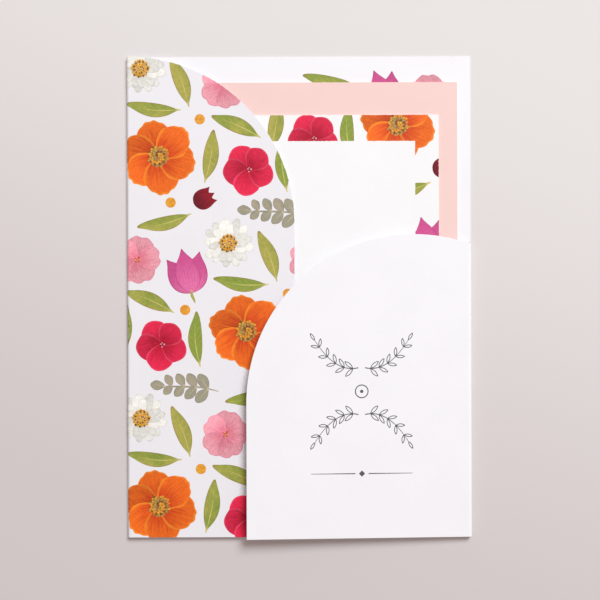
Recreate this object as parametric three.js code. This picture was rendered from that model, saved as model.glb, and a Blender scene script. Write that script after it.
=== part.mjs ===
// A wedding invitation pocket. One die-cut sheet of card is folded into a back panel, two round-topped
// flaps that overlap in front, and a glued tab that closes the bottom. A pink card and a framed card
// stand in it. Millimetres, +Z up: the pocket lies on its back, and the origin is the middle of its
// outline, on the surface that it lies on.
import * as THREE from "three";

// Pocket sheet
const pocketWidth = 126; // over both side folds
const pocketHeight = 176;
const sheetThickness = 0.35; // card of about 300 g/m2
const layerGap = 0.05; // air between two layers of card
const bendSteps = 12; // facets round each fold

// Left flap, under the right one: a quarter round from the fold to its straight side
const leftFlapWidth = 61.3;

// Right flap, in front: an arch that the fold cuts off past its top, springing a little open
const rightFlapWidth = 82.4;
const rightFlapHeight = 110.6;
const rightFlapRadius = 61.3;
const rightFlapSpring = THREE.MathUtils.degToRad(2.45);
const cornerRelief = 0.6; // slant of the cut where the panel's free side meets the fold

// Bottom tab, folded up over the inserts and glued under the left flap
const tabHeight = 14;
const tabInset = 4; // from each side of the pocket
const tabMitre = 5; // how far each end slants in
const tabRelief = 1; // slant of the cut at each end of the tab's fold

// Glue line between the tab and the left flap
const glueThickness = 0.1;
const glueHeight = 7;
const glueInset = 2.5; // from the tab's end and from the left flap's free side

// Insert cards, each stepped down from what lies behind it so that every layer shows
const insertThickness = 0.35;
const seatClearance = 0.1; // the inserts stop this far above the start of the tab's fold
const pinkSideMargin = 4.8; // from each side of the pocket
const pinkTopMargin = 9.4; // below the top edge of the pocket
const framedSideMargin = 5.7; // from each side of the pink card
const framedTopMargin = 12.1; // below the top edge of the pink card
const framedShift = -1.2; // it has slid a little to the left

// Flower print on the left flap, round the framed card and inside the top of the panel
const printRepeat = 64; // its flowers repeat this far across and up, every other row shifted by half
const printMargin = 0.35; // bare card along each edge of a printed area
const flapPrintX = -4; // a repeat's corner, from the left flap's lower corner at the fold
const flapPrintY = -6;
const framePrintX = 10.5; // a repeat's corner, from the framed card's lower left corner
const framePrintY = 4.5;
const frameSideWidth = 8.6; // printed band down each side of the framed card
const frameTopWidth = 9.5; // and along its top and bottom
const panelPrintTop = 4.6; // bare strip above the print inside the panel

// Line ornament on the right flap, round an upright middle line
const ornamentMiddle = 40.4; // from the outside of the fold
const ornamentLine = 0.4; // width of its thin lines
const garlandWidth = 38;
const garlandRise = 10;
const garlandPairs = 5; // pairs of leaves on each half
const garlandLeaf = 3.9;
const upperGarlandBase = 62; // above the pocket's bottom edge
const lowerGarlandBase = 45;
const ringHeight = 53.4;
const ringRadius = 2.5;
const ruleHeight = 23.5;
const ruleWidth = 37;

// What the folds have to wrap round sets their radii, measured to the outside of the card.
const insertSpace = 2 * insertThickness + 3 * layerGap;
const tabFoldRadius = (2 * sheetThickness + insertSpace) / 2;
const leftFoldSpace = insertSpace + sheetThickness + glueThickness;
const leftFoldRadius = (2 * sheetThickness + leftFoldSpace) / 2;
const rightFoldSpace = leftFoldSpace + sheetThickness + layerGap;
const rightFoldRadius = (2 * sheetThickness + rightFoldSpace) / 2;
const tabHalfWidth = pocketWidth / 2 - tabInset;
const arcSteps = 40; // facets round each flap's curve

const colours = {
  whiteCard: 0xf6f4f7,
  pinkCard: 0xf9d8d3,
  framedCard: 0xfbfafc,
  glue: 0xe9e2cf,
  orange: 0xe87028,
  crimson: 0xdc284f,
  pink: 0xee9bae,
  magenta: 0xc95a9c,
  cream: 0xe9e4da,
  wine: 0x8a1a2c,
  olive: 0x9fa653,
  grey: 0xada08a,
  yellow: 0xf3a934,
  brown: 0x7a5426,
  line: 0x58585c,
};

function paper(colour) {
  return new THREE.MeshStandardMaterial({ color: colour, roughness: 0.85, metalness: 0 });
}

// The section of a fold: how far out and up a point lies that is `reach` along the sheet past the
// fold's start and `depth` inside its outer face. The sheet turns through `turn`, then runs straight.
function foldSection(reach, depth, radius, turn) {
  const middle = radius - sheetThickness / 2;
  const angle = Math.min(reach / middle, turn);
  const beyond = Math.max(reach - middle * turn, 0);
  return {
    out: (radius - depth) * Math.sin(angle) + beyond * Math.cos(angle),
    up: radius - (radius - depth) * Math.cos(angle) + beyond * Math.sin(angle),
  };
}

function bendLength(radius, turn) {
  return (radius - sheetThickness / 2) * turn;
}

// Places in the finished pocket for points (u, v) of the flat blank, outside down: u runs across from
// the middle, v up from the bottom edge, and depth from the outer face to the inner one.
const bottom = -pocketHeight / 2;

function placePanel(u, v, depth) {
  return [u, bottom + v, depth];
}

function placeSide({ hand, radius, turn }) {
  const foldStart = pocketWidth / 2 - radius;
  return (u, v, depth) => {
    const section = foldSection(hand * u - foldStart, depth, radius, turn);
    return [hand * (foldStart + section.out), bottom + v, section.up];
  };
}

function placeTab(u, v, depth) {
  const section = foldSection(tabFoldRadius - v, depth, tabFoldRadius, Math.PI);
  return [u, bottom + tabFoldRadius - section.out, section.up];
}

// A band of the blank that bends, as narrow patches: `edges(share)` gives its two ends at each share
// of the way round.
function bendPatches(edges, place) {
  const patches = [];
  for (let i = 0; i < bendSteps; i++) {
    const [from, to] = [edges(i / bendSteps), edges((i + 1) / bendSteps)];
    patches.push({ outline: [from[0], to[0], to[1], from[1]], place });
  }
  return patches;
}

// Points round a circle's arc, both ends included.
function arcPoints(centreX, centreY, radius, fromAngle, toAngle, steps) {
  const curve = new THREE.EllipseCurve(
    centreX, centreY, radius, radius, fromAngle, toAngle, toAngle < fromAngle,
  );
  return curve.getPoints(steps);
}

// The two folded sides. Each flap's outline is drawn with x as the distance from the fold's outside,
// and starts with the two points where the flap leaves the bend.
const leftSide = {
  hand: -1,
  radius: leftFoldRadius,
  turn: Math.PI,
  flapOutline: leftFlapOutline(),
  print: () => flowerPrint(leftSide.flapOutline, flapPrintX, flapPrintY),
};
const rightSide = {
  hand: 1,
  radius: rightFoldRadius,
  turn: Math.PI - rightFlapSpring,
  flapOutline: rightFlapOutline(),
  print: ornament,
};

// The left flap's top is a quarter round that starts at the fold, at the pocket's full height.
function leftFlapOutline() {
  const radius = leftFlapWidth;
  const startAngle = Math.acos(leftFoldRadius / radius);
  const curve = arcPoints(0, pocketHeight - radius, radius, startAngle, 0, arcSteps);
  return [
    new THREE.Vector2(leftFoldRadius, 0),
    new THREE.Vector2(leftFoldRadius, pocketHeight),
    ...curve.slice(1),
    new THREE.Vector2(leftFlapWidth, 0),
  ];
}

// The right flap's top is an arch round a centre nearer the fold than its own radius.
function rightFlapOutline() {
  const centreX = rightFlapWidth - rightFlapRadius;
  const centreY = rightFlapHeight - rightFlapRadius;
  const startAngle = Math.acos((rightFoldRadius - centreX) / rightFlapRadius);
  return [
    new THREE.Vector2(rightFoldRadius, 0),
    ...arcPoints(centreX, centreY, rightFlapRadius, startAngle, 0, arcSteps),
    new THREE.Vector2(rightFlapWidth, 0),
  ];
}

// Printed fields. A field is an outline in one ink, with any smaller fields that lie inside it.
function field(ink, outline, inside = []) {
  return { ink, outline, inside };
}

function mapFields(fields, move) {
  return fields.map(({ ink, outline, inside }) =>
    field(ink, outline.map(move), mapFields(inside, move)),
  );
}

function placeFields(fields, x, y, turn) {
  const origin = new THREE.Vector2(0, 0);
  const corner = new THREE.Vector2(x, y);
  return mapFields(fields, (p) => p.clone().rotateAround(origin, turn).add(corner));
}

// Points round a middle, each as far out as `reachAt` says.
function roundOutline(count, reachAt) {
  return Array.from({ length: count }, (_, i) => {
    const turn = (i / count) * 2 * Math.PI;
    return new THREE.Vector2(-Math.sin(turn), Math.cos(turn)).multiplyScalar(reachAt(turn));
  });
}

// A flower from above: its edge dips between the petals, and its heart is a small round.
function flower(ink, petals, reach, dip, heartInk, heartReach) {
  const petalSteps = petals > 8 ? 2 : 6;
  const heart = field(heartInk, roundOutline(10, () => heartReach));
  const edge = roundOutline(petals * petalSteps, (turn) => {
    const wave = Math.abs(Math.cos((petals * turn) / 2));
    return reach * (1 - dip * (1 - wave ** 0.6));
  });
  return field(ink, edge, [heart]);
}

// A leaf along +y, round its middle.
function leaf(ink, length, width) {
  const points = 12;
  const edge = Array.from({ length: points }, (_, i) => {
    const turn = (i / points) * 2 * Math.PI;
    const narrowing = 1 - 0.3 * Math.sin(turn) ** 2;
    return new THREE.Vector2(
      (width / 2) * Math.cos(turn) * narrowing,
      (length / 2) * Math.sin(turn),
    );
  });
  return field(ink, edge);
}

// A closed flower from the side: three pointed petals over a round base.
function closedFlower(ink, reach) {
  const half = [[0.6, -0.7], [0.75, -0.1], [0.72, 0.58], [0.4, 0.34]];
  const mirrored = half.map(([x, y]) => [-x, y]).reverse();
  const points = [[0, -1], ...half, [0, 1], ...mirrored];
  return field(ink, points.map(([x, y]) => new THREE.Vector2(x * reach, y * reach)));
}

// A thin line along a curve, tapering to its far end.
function tapered(ink, curve, width, steps) {
  const sides = [[], []];
  for (let i = 0; i <= steps; i++) {
    const along = i / steps;
    const middle = curve.getPoint(along);
    const tangent = curve.getTangent(along);
    const out = new THREE.Vector2(-tangent.y, tangent.x).multiplyScalar(width * (0.5 - 0.3 * along));
    sides[0].push(middle.clone().add(out));
    sides[1].unshift(middle.clone().sub(out));
  }
  return field(ink, sides.flat());
}

// Leaves in pairs up a stem, clear of it, each `shrink` times as long as the pair below it.
function stemWithLeaves(ink, curve, { stemWidth, pairs, length, width, shrink, spread }) {
  const fields = [tapered(ink, curve, stemWidth, 8)];
  for (let pair = 0; pair < pairs; pair++) {
    const along = (pair + 0.6) / (pairs + 0.2);
    const size = shrink ** pair;
    const base = curve.getPoint(along);
    const heading = curve.getTangent(along).angle() - Math.PI / 2;
    for (const hand of [-1, 1]) {
      const turn = heading + hand * spread;
      const beyond = (length * size) / 2 + stemWidth * 1.6;
      fields.push(...placeFields(
        [leaf(ink, length * size, width * size)],
        base.x - beyond * Math.sin(turn), base.y + beyond * Math.cos(turn), turn,
      ));
    }
  }
  return fields;
}

// The print's motifs, and their places in one repeat: x, y and turn in degrees. All lengths are in
// hundredths of the repeat.
const motifs = {
  orangeFlower: [flower("orange", 6, 21.6, 0.14, "brown", 4.2)],
  crimsonFlower: [flower("crimson", 5, 14.8, 0.18, "wine", 1.8)],
  pinkFlower: [flower("pink", 5, 14.8, 0.2, "crimson", 1.6)],
  aster: [flower("cream", 13, 14.4, 0.22, "yellow", 4)],
  tulip: [closedFlower("magenta", 13.6)],
  bud: [closedFlower("wine", 7)],
  broadLeaf: [leaf("olive", 30.5, 8.8)],
  slimLeaf: [leaf("olive", 32, 8)],
  berry: [field("yellow", roundOutline(10, () => 3))],
  sprig: stemWithLeaves(
    "grey",
    new THREE.QuadraticBezierCurve(
      new THREE.Vector2(0, -17), new THREE.Vector2(2.5, 0), new THREE.Vector2(0, 15),
    ),
    { stemWidth: 0.9, pairs: 4, length: 10.5, width: 6, shrink: 0.9, spread: 0.95 },
  ),
};
const repeatPlaces = [
  ["orangeFlower", 24.2, 27.3, 12],
  ["crimsonFlower", 76.2, 19.7, 30],
  ["pinkFlower", 62.2, 68.1, -14],
  ["aster", 14.1, 77.5, 8],
  ["tulip", 90.9, 60, 14],
  ["sprig", 41.4, 94.5, 84],
  ["broadLeaf", 53.4, 27.3, -10],
  ["slimLeaf", 77.5, 90.6, 104],
  ["broadLeaf", 36.7, 70, 20],
  ["slimLeaf", 21.3, 55.6, 84],
  ["broadLeaf", 68.8, 44.1, 66],
  ["slimLeaf", 96.9, 22.7, 4],
  ["berry", 48.1, 48.4, 0],
  ["berry", 89.4, 39.4, 0],
  ["berry", 31.3, 0.8, 0],
  ["bud", 50.3, 2.8, -60],
];
// Inside the panel: x from its middle and y down from its top edge, in millimetres.
const panelPlaces = [
  ["slimLeaf", 11.5, 8.4, 80],
  ["tulip", 31, 12, 18],
  ["pinkFlower", 48, 15.2, 0],
];

// A motif at its true size.
function motifAt(name, x, y, turn) {
  const scale = printRepeat / 100;
  const sized = mapFields(motifs[name], (p) => p.clone().multiplyScalar(scale));
  return placeFields(sized, x, y, THREE.MathUtils.degToRad(turn));
}

// The part of an outline that lies `margin` or more inside a convex area. Points that end up closer
// together than the finest edge are dropped.
function clipOutline(outline, area, margin) {
  const finestEdge = 0.15;
  let kept = outline;
  const corners = THREE.ShapeUtils.isClockWise(area) ? [...area].reverse() : area;
  corners.forEach((a, i) => {
    const b = corners[(i + 1) % corners.length];
    const inward = new THREE.Vector2(a.y - b.y, b.x - a.x).normalize();
    const depth = (p) => p.clone().sub(a).dot(inward) - margin;
    kept = kept.flatMap((p, j) => {
      const q = kept[(j + 1) % kept.length];
      const [from, to] = [depth(p), depth(q)];
      const crossing = from >= 0 !== to >= 0 ? [p.clone().lerp(q, from / (from - to))] : [];
      return from >= 0 ? [p, ...crossing] : crossing;
    });
  });
  return kept.filter((p, i) => p.distanceTo(kept[(i + 1) % kept.length]) > finestEdge);
}

// Fields cut off at the edges of a convex area. A field stays if its middle is in the area or near
// it, and what lies inside it stays if it is whole. `before` counts the fields already there: each
// is cut a little further in than the last, because cut edges in one line spoil the triangulation.
function clipFields(fields, area, before) {
  const smallestField = 1.5; // mm2
  return fields.flatMap(({ ink, outline, inside }, i) => {
    const margin = printMargin * (1 + (before + i) / 60);
    const box = new THREE.Box2().setFromPoints(outline);
    const middle = box.getCenter(new THREE.Vector2());
    const near = box.getSize(new THREE.Vector2()).length() / 5;
    const around = roundOutline(8, () => near).map((p) => p.add(middle));
    if (!clipOutline(around, area, 0).length) return [];
    const kept = clipOutline(outline, area, margin);
    if (kept.length < 3 || Math.abs(THREE.ShapeUtils.area(kept)) < smallestField) return [];
    const whole = inside.filter(
      (inner) => clipOutline(inner.outline, area, 2 * margin).length === inner.outline.length,
    );
    return [field(ink, kept, whole)];
  });
}

// The print over a convex area, with a repeat's corner at (startX, startY).
function flowerPrint(area, startX, startY) {
  const { max } = new THREE.Box2().setFromPoints(area);
  const scale = printRepeat / 100;
  const fields = [];
  for (let row = -1; startY + row * printRepeat < max.y; row++) {
    const shift = Math.abs(row % 2) * (printRepeat / 2);
    for (let column = -2; startX + column * printRepeat < max.x; column++) {
      for (const [name, x, y, turn] of repeatPlaces) {
        const placeX = startX + column * printRepeat + shift + x * scale;
        const placeY = startY + row * printRepeat + y * scale;
        fields.push(...clipFields(motifAt(name, placeX, placeY, turn), area, fields.length));
      }
    }
  }
  return fields;
}

function rectangle(left, bottomEdge, right, top) {
  return [[left, bottomEdge], [right, bottomEdge], [right, top], [left, top]].map(
    (p) => new THREE.Vector2(...p),
  );
}

// The right flap's ornament: a garland over and one under a ring, and a rule below them.
function garland(base, rise) {
  return [-1, 1].flatMap((hand) => {
    const stem = new THREE.QuadraticBezierCurve(
      new THREE.Vector2(hand * 1.2, 0),
      new THREE.Vector2((hand * garlandWidth) / 4, -rise * 0.2),
      new THREE.Vector2(hand * (garlandWidth / 2 - garlandLeaf / 2), rise),
    );
    const half = stemWithLeaves("line", stem, {
      stemWidth: ornamentLine,
      pairs: garlandPairs,
      length: garlandLeaf,
      width: garlandLeaf * 0.36,
      shrink: 0.95,
      spread: 0.75,
    });
    return placeFields(half, ornamentMiddle, base, 0);
  });
}

function ornament() {
  const ring = field("line", roundOutline(24, () => ringRadius), [
    field("whiteCard", roundOutline(24, () => ringRadius - ornamentLine), [
      field("line", roundOutline(8, () => ringRadius / 4)),
    ]),
  ]);
  const lozenge = field("line", roundOutline(4, () => 3 * ornamentLine));
  const rules = [-1, 1].map((hand) => {
    const reach = ruleWidth / 2;
    const line = new THREE.LineCurve(
      new THREE.Vector2(hand * 6 * ornamentLine, 0), new THREE.Vector2(hand * reach, 0),
    );
    return tapered("line", line, ornamentLine, 1);
  });
  return [
    ...garland(upperGarlandBase, garlandRise),
    ...garland(lowerGarlandBase, -garlandRise),
    ...placeFields([ring], ornamentMiddle, ringHeight, 0),
    ...placeFields([lozenge, ...rules], ornamentMiddle, ruleHeight, 0),
  ];
}

function sidePatches(side) {
  const place = placeSide(side);
  const foldStart = pocketWidth / 2 - side.radius;
  const length = bendLength(side.radius, side.turn);
  const flapStart = foldStart + length - side.radius;
  const foldTop = side.flapOutline[1].y;
  const bend = bendPatches((share) => {
    const u = side.hand * (foldStart + length * share);
    return [new THREE.Vector2(u, 0), new THREE.Vector2(u, foldTop)];
  }, place);
  const unfold = (p) => new THREE.Vector2(side.hand * (flapStart + p.x), p.y);
  const outerPrint = mapFields(side.print(), unfold);
  return [...bend, { outline: side.flapOutline.map(unfold), place, outerPrint }];
}

// The back panel: its right side is the fold up to the right flap's top, and a cut edge above it.
function panelPatch() {
  const leftFold = -pocketWidth / 2 + leftFoldRadius;
  const rightFold = pocketWidth / 2 - rightFoldRadius;
  const rightFoldTop = rightSide.flapOutline[1].y;
  const points = [
    [leftFold, 0],
    [-tabHalfWidth - tabRelief, 0],
    [-tabHalfWidth, tabFoldRadius],
    [tabHalfWidth, tabFoldRadius],
    [tabHalfWidth + tabRelief, 0],
    [rightFold, 0],
    [rightFold, rightFoldTop],
    [pocketWidth / 2, rightFoldTop + cornerRelief],
    [pocketWidth / 2, pocketHeight],
    [leftFold, pocketHeight],
  ];
  const printed = rectangle(leftFold, 0, pocketWidth / 2, pocketHeight - panelPrintTop);
  const innerPrint = panelPlaces.flatMap(([name, x, down, turn], i) =>
    clipFields(motifAt(name, x, pocketHeight - down, turn), printed, i),
  );
  return { outline: points.map((p) => new THREE.Vector2(...p)), place: placePanel, innerPrint };
}

function tabPatches() {
  const length = bendLength(tabFoldRadius, Math.PI);
  const bend = bendPatches((share) => {
    const v = tabFoldRadius - length * share;
    return [new THREE.Vector2(-tabHalfWidth, v), new THREE.Vector2(tabHalfWidth, v)];
  }, placeTab);
  const start = tabFoldRadius - length;
  const end = start - (tabHeight - tabFoldRadius);
  const outline = [
    new THREE.Vector2(-tabHalfWidth, start),
    new THREE.Vector2(tabHalfWidth, start),
    new THREE.Vector2(tabHalfWidth - tabMitre, end),
    new THREE.Vector2(-tabHalfWidth + tabMitre, end),
  ];
  return [...bend, { outline, place: placeTab }];
}

// Triangles over an outline: bare card round its printed fields, and each field in its own ink.
function coverFace(ink, outline, fields, addFace) {
  const holes = fields.map((printed) => printed.outline);
  const points = [outline, ...holes].flat();
  const faces = THREE.ShapeUtils.triangulateShape(outline, holes).map((face) =>
    face.map((i) => points[i]),
  );
  const total = faces.reduce((sum, face) => sum + THREE.ShapeUtils.area(face), 0);
  for (const face of faces) addFace(ink, total < 0 ? face.reverse() : face);
  for (const printed of fields) coverFace(printed.ink, printed.outline, printed.inside, addFace);
}

// The closed solid of a sheet whose patches tile its flat blank edge to edge. Each patch is covered
// on both faces, and a wall closes each edge that no other patch shares. The print is flush: each
// ink has the faces of its own fields, as one group of the geometry.
function sheetGeometry(patches, thickness, card) {
  const positions = { [card]: [] };
  const edgeName = (a, b) => [a.x, a.y, b.x, b.y].map((n) => n.toFixed(4)).join(" ");
  const outlines = patches.map(({ outline }) =>
    THREE.ShapeUtils.isClockWise(outline) ? [...outline].reverse() : outline,
  );
  const edges = new Set();
  const forEachEdge = (outline, use) =>
    outline.forEach((a, i) => use(a, outline[(i + 1) % outline.length]));
  for (const outline of outlines) forEachEdge(outline, (a, b) => edges.add(edgeName(a, b)));

  outlines.forEach((outline, i) => {
    const { place } = patches[i];
    const outer = (p) => place(p.x, p.y, 0);
    const inner = (p) => place(p.x, p.y, thickness);
    const addFace = (toSolid, isInner) => (ink, corners) => {
      const facing = isInner ? corners : [...corners].reverse();
      positions[ink] = [...(positions[ink] ?? []), ...facing.flatMap(toSolid)];
    };
    coverFace(card, outline, patches[i].innerPrint ?? [], addFace(inner, true));
    coverFace(card, outline, patches[i].outerPrint ?? [], addFace(outer, false));
    forEachEdge(outline, (a, b) => {
      if (edges.has(edgeName(b, a))) return;
      positions[card].push(...outer(a), ...outer(b), ...inner(b));
      positions[card].push(...outer(a), ...inner(b), ...inner(a));
    });
  });
  const inks = Object.keys(positions);
  const geometry = new THREE.BufferGeometry();
  const everyPosition = inks.flatMap((ink) => positions[ink]);
  geometry.setAttribute("position", new THREE.Float32BufferAttribute(everyPosition, 3));
  geometry.computeVertexNormals();
  let start = 0;
  inks.forEach((ink, index) => {
    const count = positions[ink].length / 3;
    geometry.addGroup(start, count, index);
    start += count;
  });
  return { geometry, inks };
}

function pocketSheet() {
  const patches = [
    panelPatch(),
    ...sidePatches(leftSide),
    ...sidePatches(rightSide),
    ...tabPatches(),
  ];
  return sheetGeometry(patches, sheetThickness, "whiteCard");
}

// A flat card that stands in the pocket, its lower left corner at the blank's origin.
function insertCard(width, height, card, innerPrint = []) {
  const place = (u, v, depth) => [u, v, depth];
  const outline = rectangle(0, 0, width, height);
  return sheetGeometry([{ outline, place, innerPrint }], insertThickness, card);
}

// The printed frame, as four bands round the bare middle of the card.
function framePrint(width, height) {
  const [left, right] = [frameSideWidth, width - frameSideWidth];
  const [low, high] = [frameTopWidth, height - frameTopWidth];
  const bands = [
    rectangle(0, 0, width, low),
    rectangle(0, high, width, height),
    rectangle(0, low, left, high),
    rectangle(right, low, width, high),
  ];
  return bands.flatMap((band) => flowerPrint(band, framePrintX, framePrintY));
}

const pocket = new THREE.Group();
pocket.name = "invitation_pocket";

function addPiece(name, { geometry, inks }, x, y, z) {
  const materials = inks.map((ink) => paper(colours[ink]));
  const piece = new THREE.Mesh(geometry, materials.length > 1 ? materials : materials[0]);
  piece.name = name;
  piece.position.set(x, y, z);
  pocket.add(piece);
}

addPiece("pocket_sheet", pocketSheet(), 0, 0, 0);

const seat = bottom + tabFoldRadius + seatClearance;
const pinkWidth = pocketWidth - 2 * pinkSideMargin;
const pinkHeight = pocketHeight / 2 - pinkTopMargin - seat;
const pinkLevel = sheetThickness + layerGap;
addPiece(
  "pink_card", insertCard(pinkWidth, pinkHeight, "pinkCard"),
  -pinkWidth / 2, seat, pinkLevel,
);

const framedWidth = pinkWidth - 2 * framedSideMargin;
const framedHeight = pinkHeight - framedTopMargin;
const framedLevel = pinkLevel + insertThickness + layerGap;
addPiece(
  "framed_card",
  insertCard(framedWidth, framedHeight, "framedCard", framePrint(framedWidth, framedHeight)),
  -framedWidth / 2 + framedShift, seat, framedLevel,
);

// The glue line lies on the tab's flat part, and the left flap lies on the glue.
const glueLeft = -tabHalfWidth + tabMitre + glueInset;
const glueRight = Math.min(-pocketWidth / 2 + leftFlapWidth, tabHalfWidth - tabMitre) - glueInset;
const glueBottom = bottom + tabFoldRadius + (tabHeight - tabFoldRadius - glueHeight) / 2;
const glueLine = new THREE.BoxGeometry(glueRight - glueLeft, glueHeight, glueThickness);
addPiece(
  "glue_line", { geometry: glueLine, inks: ["glue"] },
  (glueLeft + glueRight) / 2, glueBottom + glueHeight / 2, 2 * tabFoldRadius + glueThickness / 2,
);

export default pocket;
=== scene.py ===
import math
import random

import bmesh
import bpy
from mathutils import Matrix, Vector


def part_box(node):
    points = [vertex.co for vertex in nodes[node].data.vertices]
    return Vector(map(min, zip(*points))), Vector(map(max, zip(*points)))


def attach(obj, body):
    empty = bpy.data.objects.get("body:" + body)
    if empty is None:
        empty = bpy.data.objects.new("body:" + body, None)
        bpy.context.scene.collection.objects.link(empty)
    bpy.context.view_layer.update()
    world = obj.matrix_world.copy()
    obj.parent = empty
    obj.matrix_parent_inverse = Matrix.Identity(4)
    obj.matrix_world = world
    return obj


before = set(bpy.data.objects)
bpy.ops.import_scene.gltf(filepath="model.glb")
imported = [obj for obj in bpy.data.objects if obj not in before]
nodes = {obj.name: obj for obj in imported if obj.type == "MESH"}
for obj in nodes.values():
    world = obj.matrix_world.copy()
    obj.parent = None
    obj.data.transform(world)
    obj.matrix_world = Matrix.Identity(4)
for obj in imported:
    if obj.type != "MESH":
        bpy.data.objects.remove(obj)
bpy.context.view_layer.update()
mm = 0.001
pocketLow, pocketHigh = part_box("pocket_sheet")
framedLow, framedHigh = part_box("framed_card")


# Camera, light and floor

cameraSettings = {
    "height": 0.3326,
    "aim": (0.26 * mm, -1.3 * mm),
    "lens": 54.2,
    "sensor": 36,
    "near": 0.01,
    "roll": -0.19,  # degrees
}

lightSettings = {
    "key": {"place": (0.8, 1.42, 1.72), "aim": (0, 0, 0), "size": 1.2, "watts": 50.2,
            "colour": (0.912, 0.978, 1.0)},
    "room": {"colour": (1.0, 0.87, 0.80), "strength": 0.42},
}

# The floor's colour ramps from painted shade near the lower left to painted light far off at the upper
# right, on top of the lamp's own falloff
floorSettings = {
    "size": 8.0,
    "shadedNearColour": (0.68, 0.622, 0.627),
    "litFarColour": (0.80, 0.76, 0.758),
    "gradientSpan": 0.22,
    "gradientLean": 0.35,  # how much X counts beside Y
    "roughness": 0.75,
    "specular": 0.1,
}


def makeCamera(settings):
    bpy.ops.object.camera_add(location=(*settings["aim"], settings["height"]))
    camera = bpy.context.object
    camera.name = "camera"
    camera.rotation_euler = (0, 0, math.radians(settings["roll"]))
    camera.data.sensor_width = settings["sensor"]
    camera.data.lens = settings["lens"]
    camera.data.clip_start = settings["near"]
    bpy.context.scene.camera = camera


def makeLights(settings):
    key = settings["key"]
    bpy.ops.object.light_add(type="AREA", location=key["place"])
    lamp = bpy.context.object
    lamp.name = "window_light"
    lamp.data.shape = "DISK"
    lamp.data.size = key["size"]
    lamp.data.energy = key["watts"]
    lamp.data.color = key["colour"]
    toAim = Vector(key["aim"]) - Vector(key["place"])
    lamp.rotation_euler = toAim.to_track_quat("-Z", "Y").to_euler()

    room = bpy.data.worlds.new("room")
    bpy.context.scene.world = room
    room.use_nodes = True
    sky = room.node_tree.nodes["Background"]
    sky.inputs["Color"].default_value = (*settings["room"]["colour"], 1)
    sky.inputs["Strength"].default_value = settings["room"]["strength"]


# Node helpers

def addNode(tree, kind, **settings):
    node = tree.nodes.new(kind)
    for name, value in settings.items():
        setattr(node, name, value)
    return node


def setInputs(node, **values):
    for name, value in values.items():
        socket = node.inputs[name.replace("_", " ")]
        if hasattr(value, "is_output"):
            node.id_data.links.new(value, socket)
        else:
            socket.default_value = value
    return node


def doMath(tree, operation, first, second=None, third=None):
    node = addNode(tree, "ShaderNodeMath", operation=operation)
    for socket, value in zip(node.inputs, (first, second, third)):
        if value is None:
            continue
        if hasattr(value, "is_output"):
            tree.links.new(value, socket)
        else:
            socket.default_value = value
    return node.outputs[0]


def smoothRange(tree, value, low, high, toLow=0.0, toHigh=1.0):
    node = addNode(tree, "ShaderNodeMapRange", interpolation_type="SMOOTHSTEP")
    setInputs(node, Value=value, From_Min=low, From_Max=high, To_Min=toLow, To_Max=toHigh)
    return node.outputs["Result"]


def mixColour(tree, share, first, second, blend="MIX"):
    node = addNode(tree, "ShaderNodeMix", data_type="RGBA", blend_type=blend)
    for name, value in (("Factor_Float", share), ("A_Color", first), ("B_Color", second)):
        socket = next(s for s in node.inputs if s.identifier == name)
        if hasattr(value, "is_output"):
            tree.links.new(value, socket)
        else:
            socket.default_value = value
    return next(s for s in node.outputs if s.identifier == "Result_Color")


def noise(tree, vector, scale, detail=3.0, roughness=0.5):
    node = addNode(tree, "ShaderNodeTexNoise")
    setInputs(node, Vector=vector, Scale=scale, Detail=detail, Roughness=roughness)
    return node.outputs["Fac"]


def scaled(tree, vector, factors):
    node = addNode(tree, "ShaderNodeMapping")
    setInputs(node, Vector=vector, Scale=factors)
    return node.outputs["Vector"]


def splitAxes(tree, vector):
    parts = addNode(tree, "ShaderNodeSeparateXYZ")
    setInputs(parts, Vector=vector)
    return parts.outputs["X"], parts.outputs["Y"], parts.outputs["Z"]


def swing(tree, source, amount, start):  # moves start up or down as the source leaves its middle
    fromMiddle = doMath(tree, "SUBTRACT", source, 0.5)
    return doMath(tree, "MULTIPLY_ADD", fromMiddle, amount, start)


def greyOf(tree, level):
    grey = addNode(tree, "ShaderNodeCombineColor")
    setInputs(grey, Red=level, Green=level, Blue=level)
    return grey.outputs[0]


def newGroup(name, inputs, outputs):
    group = bpy.data.node_groups.new(name, "ShaderNodeTree")
    for label, kind in inputs:
        group.interface.new_socket(label, in_out="INPUT", socket_type="NodeSocket" + kind)
    for label, kind in outputs:
        group.interface.new_socket(label, in_out="OUTPUT", socket_type="NodeSocket" + kind)
    start = addNode(group, "NodeGroupInput")
    end = addNode(group, "NodeGroupOutput")
    return group, start.outputs, end


# Shared effects

cardFinish = {
    "cloudScale": 60,
    "fibreScale": 2600,
    "fibreStretch": 0.35,  # under 1, the fibres lie along Y
    "grainScale": 5200,
    "grainShare": 0.5,  # of the height, beside the fibres
    "fibreSpan": (0.3, 0.7),  # the fibres that the two ends of the roughness belong to
    "patches": (0.38, 0.62),  # where the darker patches are full and where they end
    "shade": (0.93, 0.93, 0.94),
    "depth": 0.35,
    "roughness": (0.62, 0.78),
    "specular": 0.25,
    "bump": (0.25, 0.02 * mm),  # strength and distance
}

petalFinish = {
    "streaks": (22.0, 2.2),  # how many across a petal and along it
    "ownStreaks": 37.0,  # sets one petal's streaks apart from the next one's
    "streakReach": 0.9,
    "mottleScale": 900,
    "wanderScale": 420,
    "veinWander": 0.10,
    "veinWidth": 0.13,
    "veinFade": (0.95, 0.25, 0.15, 1.0),
    "blend": (0.05, 0.85),  # where the base colour ends and where the tip's is full
    "rimWidth": 0.09,
    "rimShare": 0.75,
    "mottle": 0.60,  # this and the next two make a petal lighter or darker
    "tone": 0.30,
    "streak": 0.45,
}

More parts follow.
